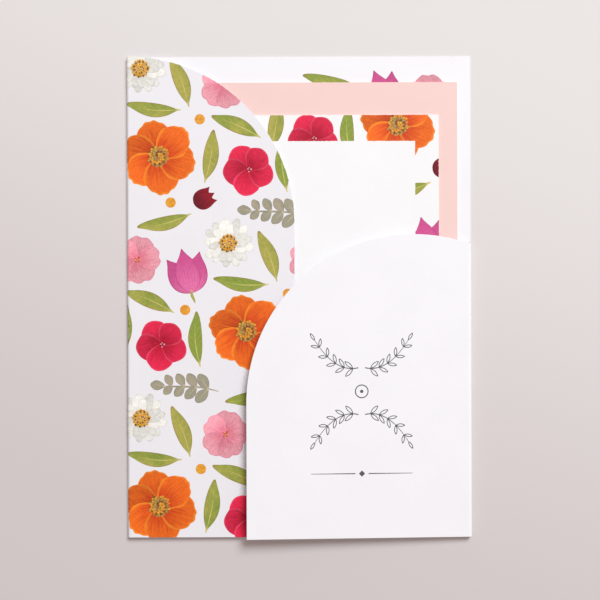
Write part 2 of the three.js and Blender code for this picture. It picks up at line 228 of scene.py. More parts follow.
leafFinish = {
    "mottleScale": 900,
    "cloudScale": 210,
    "lean": (0.25, 0.80),  # how far the side and the leaf's own tone shift its colour
    "blend": (0.60, 1.40),  # where the light colour ends and where the dark one is full
    "sideVeinSlant": -0.5,
    "sideVeinWidth": 0.10,
    "sideVeinShare": 0.18,
    "ribWidth": (0.055, 0.016),  # at the stalk and at the tip
    "ribFade": (0.15, 0.90, 0.75, 0.15),
    "stalk": (0.02, 0.14, 0.9, 0.0),
    "rim": (0.42, 0.49),  # where it starts and where it is full, from the rib outwards
    "rimShare": 0.62,
    "tipReach": 0.98,  # what the way to the tip counts beside the way to the side
    "mottle": 0.62,  # this and the next one make a leaf lighter or darker
    "tone": 0.22,
}


def makeFibreGroup(finish):
    group, given, end = newGroup(
        "card fibre",
        [("Position", "Vector"), ("Base", "Color"), ("Depth", "Float")],
        [("Color", "Color"), ("Roughness", "Float"), ("Height", "Float")],
    )
    place = given["Position"]
    stretched = scaled(group, place, (1, finish["fibreStretch"], 1))
    cloudy = noise(group, place, finish["cloudScale"], 4)
    fibres = noise(group, stretched, finish["fibreScale"], 4, 0.6)
    grain = noise(group, place, finish["grainScale"], 2)
    tone = doMath(group, "MULTIPLY", doMath(group, "ADD", cloudy, fibres), 0.5)
    dark = mixColour(group, 1.0, given["Base"], (*finish["shade"], 1), "MULTIPLY")
    patches = smoothRange(group, tone, *finish["patches"], 1.0, 0.0)
    share = doMath(group, "MULTIPLY", patches, given["Depth"])
    setInputs(end, Color=mixColour(group, share, given["Base"], dark))
    setInputs(end, Roughness=smoothRange(group, fibres, *finish["fibreSpan"], *finish["roughness"]))
    setInputs(end, Height=doMath(group, "MULTIPLY_ADD", grain, finish["grainShare"], fibres))
    return group


def makePetalGroup(finish):
    group, given, end = newGroup(
        "petal tone",
        [("UV", "Vector"), ("Position", "Vector"), ("Tone", "Float"), ("Base", "Color"), ("Tip", "Color"),
         ("Vein", "Color"), ("Rim", "Color"), ("Veins", "Float"), ("Strength", "Float")],
        [("Color", "Color"), ("Height", "Float")],
    )
    across, along, _ = splitAxes(group, given["UV"])
    streakPlace = addNode(group, "ShaderNodeCombineXYZ")
    setInputs(
        streakPlace,
        X=doMath(group, "MULTIPLY", across, finish["streaks"][0]),
        Y=doMath(group, "MULTIPLY", along, finish["streaks"][1]),
        Z=doMath(group, "MULTIPLY", given["Tone"], finish["ownStreaks"]),
    )
    streaks = noise(group, streakPlace.outputs[0], 1.0, 5, 0.6)
    wander = noise(group, given["Position"], finish["wanderScale"], 3)
    mottle = noise(group, given["Position"], finish["mottleScale"], 6, 0.65)

    bent = swing(group, wander, finish["veinWander"], across)
    wave = doMath(group, "PINGPONG", doMath(group, "MULTIPLY", bent, given["Veins"]), 0.5)
    lines = smoothRange(group, wave, 0.0, finish["veinWidth"], 1.0, 0.0)
    fading = smoothRange(group, along, *finish["veinFade"])
    veins = doMath(group, "MULTIPLY", doMath(group, "MULTIPLY", lines, fading), given["Strength"])

    reach = swing(group, streaks, finish["streakReach"], along)
    body = mixColour(group, smoothRange(group, reach, *finish["blend"]), given["Base"], given["Tip"])
    body = mixColour(group, veins, body, given["Vein"])
    side = doMath(group, "MINIMUM", across, doMath(group, "SUBTRACT", 1.0, across))
    rim = doMath(group, "MINIMUM", side, doMath(group, "SUBTRACT", 1.0, along))
    rimShare = smoothRange(group, rim, 0.0, finish["rimWidth"], finish["rimShare"], 0.0)
    body = mixColour(group, rimShare, body, given["Rim"])

    light = swing(group, mottle, finish["mottle"], 1.0)
    light = swing(group, given["Tone"], finish["tone"], light)
    light = swing(group, streaks, finish["streak"], light)
    setInputs(end, Color=mixColour(group, 1.0, body, greyOf(group, light), "MULTIPLY"))
    setInputs(end, Height=doMath(group, "ADD", veins, streaks))
    return group


def makeLeafGroup(finish):
    group, given, end = newGroup(
        "leaf tone",
        [("UV", "Vector"), ("Position", "Vector"), ("Tone", "Float"), ("Light", "Color"), ("Dark", "Color"),
         ("Rib", "Color"), ("Rim", "Color"), ("Side Veins", "Float")],
        [("Color", "Color"), ("Height", "Float")],
    )
    across, along, _ = splitAxes(group, given["UV"])
    mottle = noise(group, given["Position"], finish["mottleScale"], 6, 0.7)
    cloud = noise(group, given["Position"], finish["cloudScale"], 3)
    fromRib = doMath(group, "ABSOLUTE", doMath(group, "SUBTRACT", across, 0.5))

    leaning = doMath(group, "MULTIPLY_ADD", across, finish["lean"][0], cloud)
    leaning = doMath(group, "MULTIPLY_ADD", given["Tone"], finish["lean"][1], leaning)
    body = mixColour(group, smoothRange(group, leaning, *finish["blend"]), given["Light"], given["Dark"])

    slanted = doMath(group, "MULTIPLY_ADD", fromRib, finish["sideVeinSlant"], along)
    wave = doMath(group, "PINGPONG", doMath(group, "MULTIPLY", slanted, given["Side Veins"]), 0.5)
    sideLines = smoothRange(group, wave, 0.0, finish["sideVeinWidth"], 1.0, 0.0)
    sideVeins = doMath(group, "MULTIPLY", sideLines, finish["sideVeinShare"])
    body = mixColour(group, sideVeins, body, given["Rib"])
    ribWidth = smoothRange(group, along, 0.0, 1.0, *finish["ribWidth"])
    rib = doMath(group, "LESS_THAN", fromRib, ribWidth)
    ribShare = doMath(group, "MULTIPLY", rib, smoothRange(group, along, *finish["ribFade"]))
    body = mixColour(group, ribShare, body, given["Rib"])
    body = mixColour(group, smoothRange(group, along, *finish["stalk"]), body, given["Rib"])

    endWise = doMath(group, "MULTIPLY", doMath(group, "SUBTRACT", along, 0.5), finish["tipReach"])
    outward = doMath(group, "MAXIMUM", fromRib, endWise)
    rimShare = smoothRange(group, outward, *finish["rim"], 0.0, finish["rimShare"])
    body = mixColour(group, rimShare, body, given["Rim"])

    light = swing(group, mottle, finish["mottle"], 1.0)
    light = swing(group, given["Tone"], finish["tone"], light)
    setInputs(end, Color=mixColour(group, 1.0, body, greyOf(group, light), "MULTIPLY"))
    setInputs(end, Height=doMath(group, "ADD", rib, mottle))
    return group


# Materials

def toLinear(colour):
    levels = []
    for level in colour:
        share = level / 255
        levels.append(share / 12.92 if share <= 0.04045 else ((share + 0.055) / 1.055) ** 2.4)
    return (*levels, 1)


def startMaterial(name):
    material = bpy.data.materials.new(name)
    material.use_nodes = True
    tree = material.node_tree
    return material, tree, tree.nodes["Principled BSDF"]


def placeGroup(tree, group, **values):
    node = addNode(tree, "ShaderNodeGroup", node_tree=group)
    return setInputs(node, **values).outputs


def addBump(tree, surface, height, strength, distance):
    bump = addNode(tree, "ShaderNodeBump")
    setInputs(bump, Height=height, Strength=strength, Distance=distance)
    setInputs(surface, Normal=bump.outputs["Normal"])


printFinish = {"roughness": 0.6, "specular": 0.25, "bump": (0.10, 0.02 * mm)}
speckFinish = {"roughness": 0.6, "blend": (0.38, 0.62), "bump": (0.15, 0.03 * mm)}
lineDepth = 0.8  # how strongly the card's fibre shows through a line


def makeCardMaterial(name, colour, finish, tint=None):
    material, tree, surface = startMaterial(name)
    place = addNode(tree, "ShaderNodeTexCoord").outputs["Object"]
    made = placeGroup(tree, fibreGroup, Position=place, Base=toLinear(colour), Depth=finish["depth"])
    shown = made["Color"]
    if tint:
        x, _, z = splitAxes(tree, place)
        inside = doMath(tree, "COMPARE", z, tint["level"], tint["reach"])
        leftward = doMath(tree, "LESS_THAN", x, tint["right"])
        share = doMath(tree, "MULTIPLY", inside, leftward)
        shown = mixColour(tree, share, shown, (*tint["shade"], 1), "MULTIPLY")
    setInputs(surface, Base_Color=shown, Roughness=made["Roughness"])
    surface.inputs["Specular IOR Level"].default_value = finish["specular"]
    addBump(tree, surface, made["Height"], *finish["bump"])
    return material


def makePrintMaterial(name, group, values, finish):
    material, tree, surface = startMaterial(name)
    coordinates = addNode(tree, "ShaderNodeTexCoord").outputs
    tone = addNode(tree, "ShaderNodeAttribute", attribute_name="tone").outputs["Fac"]
    given = {key: toLinear(value) if isinstance(value, tuple) else value for key, value in values.items()}
    made = placeGroup(
        tree, group, UV=coordinates["UV"], Position=coordinates["Object"], Tone=tone, **given)
    setInputs(surface, Base_Color=made["Color"])
    surface.inputs["Roughness"].default_value = finish["roughness"]
    surface.inputs["Specular IOR Level"].default_value = finish["specular"]
    addBump(tree, surface, made["Height"], *finish["bump"])
    return material


def makeSpeckMaterial(name, values, finish):
    material, tree, surface = startMaterial(name)
    place = addNode(tree, "ShaderNodeTexCoord").outputs["Object"]
    specks = noise(tree, place, values["scale"], 5, 0.7)
    share = smoothRange(tree, specks, *finish["blend"])
    colour = mixColour(tree, share, toLinear(values["dark"]), toLinear(values["light"]))
    setInputs(surface, Base_Color=colour)
    surface.inputs["Roughness"].default_value = finish["roughness"]
    addBump(tree, surface, specks, *finish["bump"])
    return material


def makeLineMaterial(name, colour):
    material, tree, surface = startMaterial(name)
    place = addNode(tree, "ShaderNodeTexCoord").outputs["Object"]
    made = placeGroup(tree, fibreGroup, Position=place, Base=toLinear(colour), Depth=lineDepth)
    setInputs(surface, Base_Color=made["Color"], Roughness=made["Roughness"])
    return material


def makeFloorMaterial(settings):
    material, tree, surface = startMaterial("pale floor")
    x, y, _ = splitAxes(tree, addNode(tree, "ShaderNodeTexCoord").outputs["Object"])
    # Painted light falloff: darker near the lower left, lighter towards the upper right
    rising = doMath(tree, "MULTIPLY_ADD", x, settings["gradientLean"], y)
    span = settings["gradientSpan"] / 2
    share = smoothRange(tree, rising, -span, span)
    colour = mixColour(tree, share, (*settings["shadedNearColour"], 1), (*settings["litFarColour"], 1))
    setInputs(surface, Base_Color=colour)
    surface.inputs["Roughness"].default_value = settings["roughness"]
    surface.inputs["Specular IOR Level"].default_value = settings["specular"]
    return material


def makeFloor(settings):
    bpy.ops.mesh.primitive_plane_add(size=settings["size"], location=(0, 0, 0))
    floor = bpy.context.object
    floor.name = "floor"
    floor.data.materials.append(makeFloorMaterial(settings))


makeCamera(cameraSettings)
makeLights(lightSettings)
makeFloor(floorSettings)

fibreGroup = makeFibreGroup(cardFinish)
petalGroup = makePetalGroup(petalFinish)
leafGroup = makeLeafGroup(leafFinish)

cardColours = {
    "pocket_sheet": (251, 249, 254),
    "pink_card": (250, 215, 210),
    "framed_card": (252, 251, 253),
    "glue_line": (236, 228, 208),
}
# The printed left flap is a touch greyer than the bare card
flapTint = {"level": 1.9 * mm, "reach": 0.4 * mm, "right": -1.6 * mm, "shade": (0.935, 0.93, 0.94)}
for nodeName, colour in cardColours.items():
    tint = flapTint if nodeName == "pocket_sheet" else None
    nodes[nodeName].data.materials.clear()
    nodes[nodeName].data.materials.append(
        makeCardMaterial(nodeName.replace("_", " "), colour, cardFinish, tint))

petalInks = {
    "orange": {"Base": (206, 62, 18), "Tip": (236, 106, 28), "Vein": (176, 52, 20), "Rim": (246, 150, 44),
               "Veins": 11, "Strength": 0.5},
    "crimson": {"Base": (190, 14, 50), "Tip": (230, 38, 78), "Vein": (150, 10, 42), "Rim": (240, 84, 116),
                "Veins": 9, "Strength": 0.5},
    "pink": {"Base": (230, 126, 148), "Tip": (242, 164, 178), "Vein": (210, 96, 126), "Rim": (234, 142, 164),
             "Veins": 9, "Strength": 0.5},
    "magenta": {"Base": (222, 112, 164), "Tip": (198, 78, 138), "Vein": (164, 50, 110),
                "Rim": (176, 58, 118), "Veins": 8, "Strength": 0.6},
    "cream": {"Base": (224, 219, 206), "Tip": (240, 238, 233), "Vein": (212, 207, 194),
              "Rim": (216, 213, 205), "Veins": 4, "Strength": 0.25},
    "wine": {"Base": (112, 16, 32), "Tip": (152, 22, 40), "Vein": (76, 8, 24), "Rim": (96, 12, 28),
             "Veins": 6, "Strength": 0.5},
}

leafInks = {
    "olive": {"Light": (186, 178, 88), "Dark": (134, 152, 62), "Rib": (222, 204, 122), "Rim": (162, 104, 58),
              "Side_Veins": 7},
    "grey": {"Light": (182, 170, 148), "Dark": (154, 150, 130), "Rib": (204, 184, 158),
             "Rim": (128, 114, 96), "Side_Veins": 8},
}

speckInks = {
    "brown": {"light": (150, 104, 40), "dark": (84, 56, 22), "scale": 1500},
    "gold": {"light": (236, 186, 50), "dark": (196, 130, 34), "scale": 1500},
    "anther": {"light": (190, 176, 92), "dark": (128, 108, 44), "scale": 1500},
    "berry": {"light": (246, 176, 50), "dark": (226, 138, 30), "scale": 900},
}

inks = {"line": makeLineMaterial("grey line", (88, 88, 92))}
for ink, values in petalInks.items():
    inks[ink] = makePrintMaterial(ink + " petal", petalGroup, values, printFinish)
for ink, values in leafInks.items():
    inks[ink] = makePrintMaterial(ink + " leaf", leafGroup, values, printFinish)
for ink, values in speckInks.items():
    inks[ink] = makeSpeckMaterial(ink + " specks", values, speckFinish)
print("materials made")


# Edit mode helpers

def onlySelect(*objects):
    bpy.ops.object.select_all(action="DESELECT")
    for obj in objects:
        obj.select_set(True)
    bpy.context.view_layer.objects.active = objects[0]


def pickPoints(obj, wanted):
    work = bmesh.from_edit_mesh(obj.data)
    work.verts.ensure_lookup_table()
    for point in work.verts:
        point.select = wanted(point)
    work.select_flush_mode()
    bmesh.update_edit_mesh(obj.data)


def applyModifier(obj, name, kind, **settings):
    modifier = obj.modifiers.new(name, kind)
    for key, value in settings.items():
        setattr(modifier, key, value)
    onlySelect(obj)
    bpy.ops.object.modifier_apply(modifier=name)


def joinAll(name, parts):
    onlySelect(*parts)
    if len(parts) > 1:
        bpy.ops.object.join()
    parts[0].name = name
    parts[0].data.name = name
    return parts[0]


def setTone(obj, tone):
    attribute = obj.data.attributes.new("tone", "FLOAT", "POINT")
    attribute.data.foreach_set("value", [tone] * len(obj.data.vertices))


# Petals and leaves: a grid is narrowed row by row and shortened column by column

def roundSide(along):
    return 0.16 + 0.84 * math.sin(math.pi * min(along, 0.98) ** 0.9 * 0.62) ** 1.1


def pointedSide(along):
    return 0.14 + 0.86 * math.sin(math.pi * along ** 0.85) ** 0.8 if along < 1 else 0.14


def stalkedSide(along):
    past = max(along - 0.10, 0) / 0.90
    return 0.09 + 0.91 * math.sin(math.pi * 0.93 * past ** 0.9) ** 0.75


def strapSide(along):
    return 0.50 + 0.50 * math.sin(math.pi * min(along, 0.92) ** 1.6) ** 0.8


def roundTip(share):
    return 1 - 0.30 * share ** 2


def notchedTip(share):
    return 1 - 0.28 * share ** 2 - 0.13 * max(0, 1 - abs(share) / 0.45)


def frilledTip(share):
    return 1 - 0.30 * share ** 2 - 0.035 * math.cos(share * math.pi * 4)


def leafTip(share):
    return 1 - 0.10 * share ** 2


def shapeBlade(length, width, side, tip, columns=8, rows=9, sway=0.0, jitter=0.0, seed=0,
               material=None, tone=0.5):
    bpy.ops.object.select_all(action="DESELECT")
    bpy.ops.mesh.primitive_grid_add(x_subdivisions=columns, y_subdivisions=rows, size=1, location=(0, 0, 0))
    blade = bpy.context.object
    blade.data.materials.append(material)
    across = columns + 1
    bpy.ops.object.mode_set(mode="EDIT")
    bpy.ops.transform.resize(value=(width, length, 1), center_override=(0, 0, 0))
    bpy.ops.transform.translate(value=(0, length / 2, 0))
    for column in range(across):
        share = 2 * column / columns - 1
        pickPoints(blade, lambda point: point.index % across == column)
        bpy.ops.transform.resize(value=(1, tip(share), 1), center_override=(0, 0, 0))
    for row in range(rows + 1):
        along = row / rows
        pickPoints(blade, lambda point: point.index // across == row)
        bpy.ops.transform.resize(value=(side(along), 1, 1), center_override=(0, 0, 0))
        if sway:
            bpy.ops.transform.translate(value=(sway * math.sin(math.pi * along), 0, 0))
    if jitter:
        bpy.ops.mesh.select_all(action="SELECT")
        bpy.ops.transform.vertex_random(offset=jitter, seed=seed)
        bpy.ops.transform.resize(value=(1, 1, 0), center_override=(0, 0, 0))
    bpy.ops.object.mode_set(mode="OBJECT")
    applyModifier(blade, "soft outline", "SUBSURF", levels=1, render_levels=1, boundary_smooth="ALL")
    setTone(blade, tone)
    return blade


def turnAndMove(obj, turn, x=0.0, y=0.0, z=0.0):
    obj.data.transform(Matrix.Translation((x, y, z)) @ Matrix.Rotation(turn, 4, "Z"))
    return obj


layerStep = 0.004 * mm  # between one layer of ink and the next

# How far petals and dots differ from one another, as shares of their sizes, and turned in radians
spreadOf = {
    "length": (0.93, 1.05),
    "width": (0.92, 1.06),
    "turn": (-0.09, 0.09),
    "dot": (0.75, 1.2),
}
petalJitter = 0.022  # of a petal's outline, as a share of its length


def makeDots(count, spread, size, materials, level, chance):
    dots = []
    golden = math.pi * (3 - math.sqrt(5))
    for number in range(count):
        reach = spread * math.sqrt((number + 0.5) / count)
        bpy.ops.object.select_all(action="DESELECT")
        bpy.ops.mesh.primitive_circle_add(
            vertices=7, radius=size * chance.uniform(*spreadOf["dot"]), fill_type="TRIFAN",
            location=(0, 0, 0))
        dot = bpy.context.object
        dot.data.materials.append(materials[number % len(materials)])
        setTone(dot, chance.random())
        turnAndMove(dot, number, reach * math.cos(number * golden), reach * math.sin(number * golden),
                    level + (number % 3) * layerStep)
        dots.append(dot)
    return dots


def makeBlossom(name, kind):
    chance = random.Random(kind["seed"])
    parts = []
    for ring in kind["rings"]:
        for number in range(ring["petals"]):
            petal = shapeBlade(
                ring["length"] * chance.uniform(*spreadOf["length"]),
                ring["width"] * chance.uniform(*spreadOf["width"]),
                ring["side"], ring["tip"], columns=ring.get("columns", 8), rows=ring.get("rows", 9),
                jitter=ring["length"] * ring.get("jitter", petalJitter), seed=kind["seed"] * 50 + number,
                material=inks[ring["ink"]], tone=chance.random(),
            )
            turn = math.tau * (number + ring.get("offset", 0)) / ring["petals"]
            turn += chance.uniform(*spreadOf["turn"])
            parts.append(turnAndMove(petal, turn, z=len(parts) * layerStep))
    heart = kind["heart"]
    heartInks = [inks[ink] for ink in heart["inks"]]
    heartLevel = (len(parts) + 1) * layerStep
    parts += makeDots(heart["count"], heart["spread"], heart["size"], heartInks, heartLevel, chance)
    return joinAll(name, parts)


blossomKinds = {
    "orange_blossom": {
        "seed": 3,
        "rings": [{"petals": 6, "length": 13.9 * mm, "width": 13.2 * mm, "side": roundSide,
                   "tip": frilledTip, "ink": "orange", "columns": 12, "rows": 10}],
        "heart": {"count": 64, "spread": 3.9 * mm, "size": 0.46 * mm,
                  "inks": ["gold", "brown", "anther", "gold", "anther"]},
    },
    "crimson_blossom": {
        "seed": 5,
        "rings": [{"petals": 5, "length": 9.6 * mm, "width": 9.8 * mm, "side": roundSide, "tip": roundTip,
                   "ink": "crimson"}],
        "heart": {"count": 9, "spread": 0.9 * mm, "size": 0.32 * mm, "inks": ["wine", "pink"]},
    },
    "pink_blossom": {
        "seed": 8,
        "rings": [{"petals": 5, "length": 9.6 * mm, "width": 9.4 * mm, "side": roundSide, "tip": notchedTip,
                   "ink": "pink", "columns": 10}],
        "heart": {"count": 12, "spread": 1.1 * mm, "size": 0.28 * mm, "inks": ["gold", "crimson"]},
    },
    "cream_aster": {
        "seed": 11,
        "rings": [
            {"petals": 13, "length": 9.3 * mm, "width": 3.5 * mm, "side": strapSide, "tip": leafTip,
             "ink": "cream", "columns": 6, "rows": 7, "jitter": 0.0},
            {"petals": 13, "length": 7.6 * mm, "width": 3.0 * mm, "side": strapSide, "tip": leafTip,
             "ink": "cream", "columns": 6, "rows": 7, "offset": 0.5, "jitter": 0.0},
        ],
        "heart": {"count": 90, "spread": 3.2 * mm, "size": 0.38 * mm,
                  "inks": ["gold", "berry", "gold", "brown", "gold"]},
    },
}


tulip = {
    "seed": 17,
    "petals": ((0.42, 0.92), (-0.42, 0.92), (0.0, 1.0)),  # turn, and share of the full length
    "length": 16.5 * mm,
    "width": 9.2 * mm,
    "foot": -7 * mm,
    "stem": {"length": 5 * mm, "width": 1.1 * mm, "sway": 0.4 * mm, "foot": -6.2 * mm},
}


def makeTulip(name, kind):
    chance = random.Random(kind["seed"])
    parts = []
    for turn, share in kind["petals"]:
        petal = shapeBlade(kind["length"] * share, kind["width"], pointedSide, leafTip,
                           material=inks["magenta"], tone=chance.random())
        parts.append(turnAndMove(petal, turn, 0, kind["foot"], len(parts) * layerStep))
    stem = kind["stem"]
    blade = shapeBlade(stem["length"], stem["width"], strapSide, roundTip, columns=4, rows=6,
                       sway=stem["sway"], material=inks["olive"], tone=0.4)
    parts.append(turnAndMove(blade, math.pi, 0, stem["foot"], len(parts) * layerStep))
    return joinAll(name, parts)


bud = {"turns": (0.34, -0.34, 0.0), "length": 8.5 * mm, "width": 5.2 * mm, "foot": -4 * mm}


def makeBud(name, kind):
    parts = []
    for number, turn in enumerate(kind["turns"]):
        petal = shapeBlade(kind["length"], kind["width"], pointedSide, leafTip, columns=6, rows=7,
                           material=inks["wine"], tone=0.3 + 0.2 * number)
        parts.append(turnAndMove(petal, turn, 0, kind["foot"], number * layerStep))
    return joinAll(name, parts)


leaves = {
    "broad_leaf": {"length": 19.8 * mm, "width": 5.7 * mm, "sway": 0.7 * mm, "tone": 0.4},
    "slim_leaf": {"length": 20.5 * mm, "width": 5.2 * mm, "sway": -1.2 * mm, "tone": 0.75},
}


def makeLeaf(name, kind):
    leaf = shapeBlade(kind["length"], kind["width"], stalkedSide, leafTip, columns=6, rows=14,
                      sway=kind["sway"], material=inks["olive"], tone=kind["tone"])
    return joinAll(name, [turnAndMove(leaf, 0, 0, -kind["length"] / 2, 0)])


sprig = {
    "seed": 23,
    "length": 22 * mm,
    "stemWidth": 0.7 * mm,
    "sway": 0.8 * mm,
    "pairs": 4,
    "firstPair": 0.18,  # shares of the length
    "pairStep": 0.20,
    "tipStart": 0.40,
    "leaflet": (6.6, 4.1),  # length and width of the first pair's, in mm
    "shrink": (0.7, 0.35),  # from one pair to the next, in mm
    "leafletTurn": -52,  # degrees
    "tip": (5.4 * mm, 3.6 * mm),
    "jitter": 0.10 * mm,
}


def makeSprig(name, kind):
    chance = random.Random(kind["seed"])
    length = kind["length"]
    stem = shapeBlade(length, kind["stemWidth"], strapSide, roundTip, columns=2, rows=10,
                      sway=kind["sway"], material=inks["grey"], tone=0.2)
    parts = [turnAndMove(stem, 0, 0, -length / 2, 0)]
    for number in range(kind["pairs"]):
        along = kind["firstPair"] + kind["pairStep"] * number
        size = [(full - less * number) * mm for full, less in zip(kind["leaflet"], kind["shrink"])]
        for hand in (-1, 1):
            leaflet = shapeBlade(*size, roundSide, roundTip, columns=6, rows=7, jitter=kind["jitter"],
                                 seed=40 + number * 2 + hand, material=inks["grey"], tone=chance.random())
            parts.append(turnAndMove(
                leaflet, hand * math.radians(kind["leafletTurn"]), kind["sway"] * math.sin(math.pi * along),
                (along - 0.5) * length, len(parts) * layerStep))
    tip = shapeBlade(*kind["tip"], roundSide, roundTip, columns=6, rows=7, jitter=kind["jitter"], seed=60,
                     material=inks["grey"], tone=0.6)
    parts.append(turnAndMove(tip, 0, 0, kind["tipStart"] * length, len(parts) * layerStep))
    return joinAll(name, parts)


berry = {"seed": 29, "radius": 1.9 * mm, "dots": 12, "spread": 1.4 * mm, "dotSize": 0.22 * mm}


def makeBerry(name, kind):
    bpy.ops.object.select_all(action="DESELECT")
    bpy.ops.mesh.primitive_circle_add(
        vertices=20, radius=kind["radius"], fill_type="TRIFAN", location=(0, 0, 0))
    disc = bpy.context.object
    disc.data.materials.append(inks["berry"])
    setTone(disc, 0.5)
    dots = makeDots(kind["dots"], kind["spread"], kind["dotSize"], [inks["gold"], inks["berry"]],
                    layerStep, random.Random(kind["seed"]))
    return joinAll(name, [disc, *dots])


motifs = {name: makeBlossom(name, kind) for name, kind in blossomKinds.items()}
motifs["magenta_tulip"] = makeTulip("magenta_tulip", tulip)
motifs["wine_bud"] = makeBud("wine_bud", bud)
for name, kind in leaves.items():
    motifs[name] = makeLeaf(name, kind)
motifs["grey_sprig"] = makeSprig("grey_sprig", sprig)
motifs["berry"] = makeBerry("berry", berry)
print("motifs modelled:", {name: len(motif.data.polygons) for name, motif in motifs.items()})


# The print's repeat: every other row of repeats is shifted by half its width

flowerRepeat = {
    "size": 64 * mm,
    "rows": range(-1, 4),
    "columns": range(-2, 3),
    "motifReach": 15 * mm,  # no motif reaches further than this from its place
    "places": [  # motif, x and y from the repeat's lower left corner in hundredths of its size, degrees
        ("orange_blossom", 24.2, 27.3, 12),
        ("crimson_blossom", 76.2, 19.7, 30),
        ("pink_blossom", 62.2, 68.1, -14),
        ("cream_aster", 14.1, 77.5, 8),
        ("magenta_tulip", 90.9, 60, 14),
        ("grey_sprig", 41.4, 94.5, 84),
        ("broad_leaf", 53.4, 27.3, -10),
        ("slim_leaf", 77.5, 90.6, 104),
        ("broad_leaf", 36.7, 70, 20),
        ("slim_leaf", 21.3, 55.6, 84),
        ("broad_leaf", 68.8, 44.1, 66),
        ("slim_leaf", 96.9, 22.7, 4),
        ("berry", 48.1, 48.4, 0),
        ("berry", 89.4, 39.4, 0),
        ("berry", 31.3, 0.8, 0),
        ("wine_bud", 50.3, 2.8, -60),
    ],
}

printSettings = {
    "seed": 41,
    "toneShift": 0.25,
    "smallest": 4 * mm ** 2,  # what is left of a motif is dropped under this area
}

leftFlap = {
    "width": 61.3 * mm,
    "repeatStart": (-4 * mm, -6 * mm),  # a repeat's corner, from the flap's lower left corner
    "arcSteps": 40,
    "foldPrint": 0.95,  # how far round the fold the print goes, as a share of a quarter turn
    "bendCuts": 5,
    "bendStep": 18,  # degrees round the fold from one cut to the next
    "spot": (-40 * mm, -20 * mm),  # where its height is taken
}


def heightAt(node, x, y):
    found, place, _, _ = nodes[node].ray_cast(Vector((x, y, 1)), Vector((0, 0, -1)))
    return place.z if found else None


def boxPlanes(left, right, bottom, top):
    return [(Vector((left, 0, 0)), Vector((-1, 0, 0))), (Vector((right, 0, 0)), Vector((1, 0, 0))),
            (Vector((0, bottom, 0)), Vector((0, -1, 0))), (Vector((0, top, 0)), Vector((0, 1, 0)))]


def leftFlapPlanes():
    radius = leftFlap["width"]
    centre = Vector((pocketLow.x, pocketHigh.y - radius, 0))
    wrapped = foldRadius * math.pi / 2 * leftFlap["foldPrint"]
    planes = boxPlanes(pocketLow.x + foldRadius - wrapped, pocketLow.x + radius, pocketLow.y, pocketHigh.y)
    step = math.pi / 2 / leftFlap["arcSteps"]
    for number in range(leftFlap["arcSteps"]):
        turn = (number + 0.5) * step
        outward = Vector((math.cos(turn), math.sin(turn), 0))
        planes.append((centre + outward * radius * math.cos(step / 2), outward))
    return planes


def cutTo(obj, planes):
    for point, outward in planes:
        if not obj.data.vertices:
            break
        if all((v.co - point).dot(outward) <= 0 for v in obj.data.vertices):
            continue
        onlySelect(obj)
        bpy.ops.object.mode_set(mode="EDIT")
        bpy.ops.mesh.select_all(action="SELECT")
        bpy.ops.mesh.bisect(plane_co=point, plane_no=outward, clear_outer=True)
        bpy.ops.object.mode_set(mode="OBJECT")


def cutAcross(obj, x):
    if min(v.co.x for v in obj.data.vertices) < x < max(v.co.x for v in obj.data.vertices):
        onlySelect(obj)
        bpy.ops.object.mode_set(mode="EDIT")
        bpy.ops.mesh.select_all(action="SELECT")
        bpy.ops.mesh.bisect(plane_co=(x, 0, 0), plane_no=(1, 0, 0))
        bpy.ops.object.mode_set(mode="OBJECT")


def repeatedPlaces(repeat, start, low, high):
    size = repeat["size"]
    reach = repeat["motifReach"]
    for row in repeat["rows"]:
        for column in repeat["columns"]:
            cornerX = start[0] + (column + row % 2 / 2) * size
            cornerY = start[1] + row * size
            for motif, x, y, turn in repeat["places"]:
                place = Vector((cornerX + x * size / 100, cornerY + y * size / 100))
                nearInX = low[0] - reach < place.x < high[0] + reach
                nearInY = low[1] - reach < place.y < high[1] + reach
                if nearInX and nearInY:
                    yield motif, place, math.radians(turn)


def printArea(places, areas, settings):
    chance = random.Random(settings["seed"])
    printed = {}
    for motif, place, turn in places:
        shift = chance.uniform(-settings["toneShift"], settings["toneShift"])
        copies = []
        for planes in areas:
            copy = motifs[motif].copy()
            copy.data = motifs[motif].data.copy()
            bpy.context.collection.objects.link(copy)
            for level in copy.data.attributes["tone"].data:
                level.value += shift
            turnAndMove(copy, turn, place.x, place.y)
            cutTo(copy, planes)
            copies.append(copy)
        left = sum(face.area for copy in copies for face in copy.data.polygons)
        for copy in copies:
            if left > settings["smallest"] and copy.data.polygons:
                printed.setdefault(motif, []).append(copy)
            else:
                bpy.data.objects.remove(copy)
    return printed


inkHeight = 0.012 * mm  # the lowest layer of ink over the card


def finishInk(piece):
    applyModifier(piece, "ink film", "SOLIDIFY", thickness=layerStep / 2, offset=0)
    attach(piece, "root")


def foldOver(piece, start, radius):
    for vertex in piece.data.vertices:
        beyond = max(start - vertex.co.x, 0) / radius
        if beyond:
            lift = radius + vertex.co.z
            vertex.co.x = start - lift * math.sin(beyond)
            vertex.co.z = lift * math.cos(beyond) - radius


flapTop = heightAt("pocket_sheet", *leftFlap["spot"])
foldRadius = flapTop / 2
flapStart = pocketLow.x + foldRadius
flapCorner = (pocketLow.x + leftFlap["width"], pocketHigh.y)
repeatStart = (pocketLow.x + leftFlap["repeatStart"][0], pocketLow.y + leftFlap["repeatStart"][1])
bendStep = foldRadius * math.radians(leftFlap["bendStep"])

flapPlaces = repeatedPlaces(flowerRepeat, repeatStart, pocketLow, flapCorner)
for motif, copies in printArea(flapPlaces, [leftFlapPlanes()], printSettings).items():
    piece = joinAll("left_flap_" + motif, copies)
    for cut in range(leftFlap["bendCuts"]):
        cutAcross(piece, flapStart - bendStep * cut)
    foldOver(piece, flapStart, foldRadius)
    piece.data.transform(Matrix.Translation((0, 0, flapTop + inkHeight)))
    finishInk(piece)
print("left flap printed")


